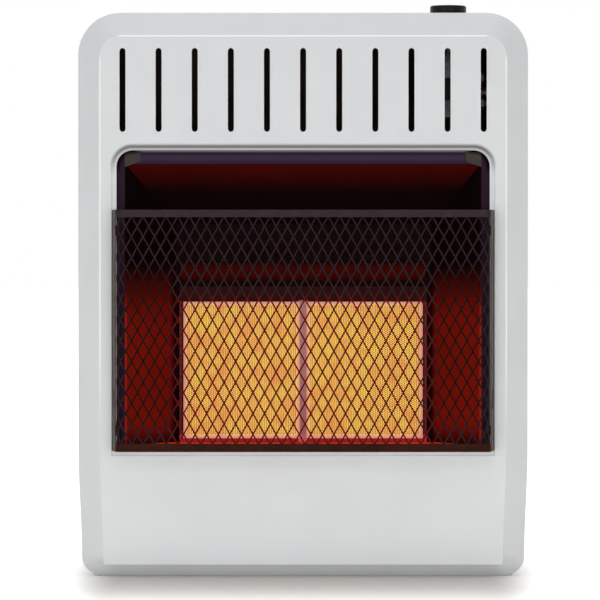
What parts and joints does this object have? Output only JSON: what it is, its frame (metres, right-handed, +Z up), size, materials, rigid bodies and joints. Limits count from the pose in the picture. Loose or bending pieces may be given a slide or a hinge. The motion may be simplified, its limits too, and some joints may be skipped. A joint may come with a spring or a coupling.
{
  "type": "ventless infrared gas heater",
  "caption": "Compact vent-free infrared gas heater: white pressed steel front with vent slots, splayed firebox, ceramic plaque burner, mesh guard and a top control knob.",
  "frame": {"origin": "on the floor, at the middle of the heater's width and depth, bottom centre of its box", "axes": "+Z up, +Y from the front to the back, +X to the right as seen from the front; the firebox mouth faces -Y"},
  "size_m": [0.406, 0.194, 0.518],
  "materials": {
    "white_paint": "semi-gloss baked enamel",
    "black_enamel": "satin heat-resistant enamel",
    "reflector_steel": "heat-tinted reflector sheet",
    "ceramic": "perforated porous plaque",
    "galvanised_steel": "galvanised",
    "cast_aluminium": "die cast",
    "aluminium_tube": "drawn",
    "brass": "turned",
    "copper": "drawn copper",
    "black_plastic": "fine satin",
    "fibre": "ceramic fibre felt",
    "porcelain": "glazed",
    "guard_paint": "satin heat-resistant paint",
    "lead_rubber": "silicone rubber sleeve"
  },
  "bodies": {
    "heater_body": {"front_panel": "white_paint", "left_side_panel": "white_paint", "right_side_panel": "white_paint", "back_panel": "galvanised_steel", "top_panel": "white_paint", "bottom_panel": "galvanised_steel", "panel_screw_1": "galvanised_steel", "panel_screw_2": "galvanised_steel", "panel_screw_3": "galvanised_steel", "panel_screw_4": "galvanised_steel", "top_heat_shield": "galvanised_steel", "rear_heat_shield": "galvanised_steel", "left_firebox_side": "reflector_steel", "right_firebox_side": "reflector_steel", "firebox_hood": "black_enamel", "firebox_floor": "black_enamel", "firebox_back": "black_enamel", "radiant_visor": "reflector_steel", "left_corner_gusset": "guard_paint", "right_corner_gusset": "guard_paint", "left_firebox_support": "galvanised_steel", "right_firebox_support": "galvanised_steel", "burner_frame": "guard_paint", "left_plaque": "ceramic", "right_plaque": "ceramic", "burner_gasket": "fibre", "burner_plenum": "galvanised_steel", "distribution_baffle": "galvanised_steel", "mixer_tube": "galvanised_steel", "left_burner_clamp": "galvanised_steel", "right_burner_clamp": "galvanised_steel", "frame_clip": "guard_paint", "injector": "brass", "injector_bracket": "galvanised_steel", "gas_valve": "cast_aluminium", "valve_bracket": "galvanised_steel", "piezo_igniter": "black_plastic", "outlet_tube": "aluminium_tube", "supply_tube": "aluminium_tube", "regulator": "cast_aluminium", "inlet_fitting": "brass", "pilot_bracket": "galvanised_steel", "pilot_burner": "galvanised_steel", "spark_electrode": "porcelain", "thermocouple": "galvanised_steel", "pilot_tube": "aluminium_tube", "thermocouple_lead": "copper", "ignition_lead": "lead_rubber", "sensing_bulb": "copper", "bulb_clip": "galvanised_steel", "capillary": "copper", "knob_bezel": "black_plastic", "guard_top_rail": "guard_paint", "guard_bottom_rail": "guard_paint", "guard_net": "guard_paint", "left_guard_strip": "guard_paint", "right_guard_strip": "guard_paint"},
    "plunger": {"valve_plunger": "galvanised_steel"},
    "knob": {"control_knob": "black_plastic", "valve_stem": "galvanised_steel"}
  },
  "joints": [
    {"name": "knob_push", "type": "slide", "parent": "heater_body", "child": "plunger", "axis": [0, 0, -1], "range_m": [0, 0.005], "stiffness_N_per_m": 900, "springref_m": -0.002},
    {"name": "knob_turn", "type": "hinge", "parent": "plunger", "child": "knob", "pos_m": [0.1325, -0.008, 0.494], "axis": [0, 0, 1], "range_deg": [0, 240]}
  ]
}
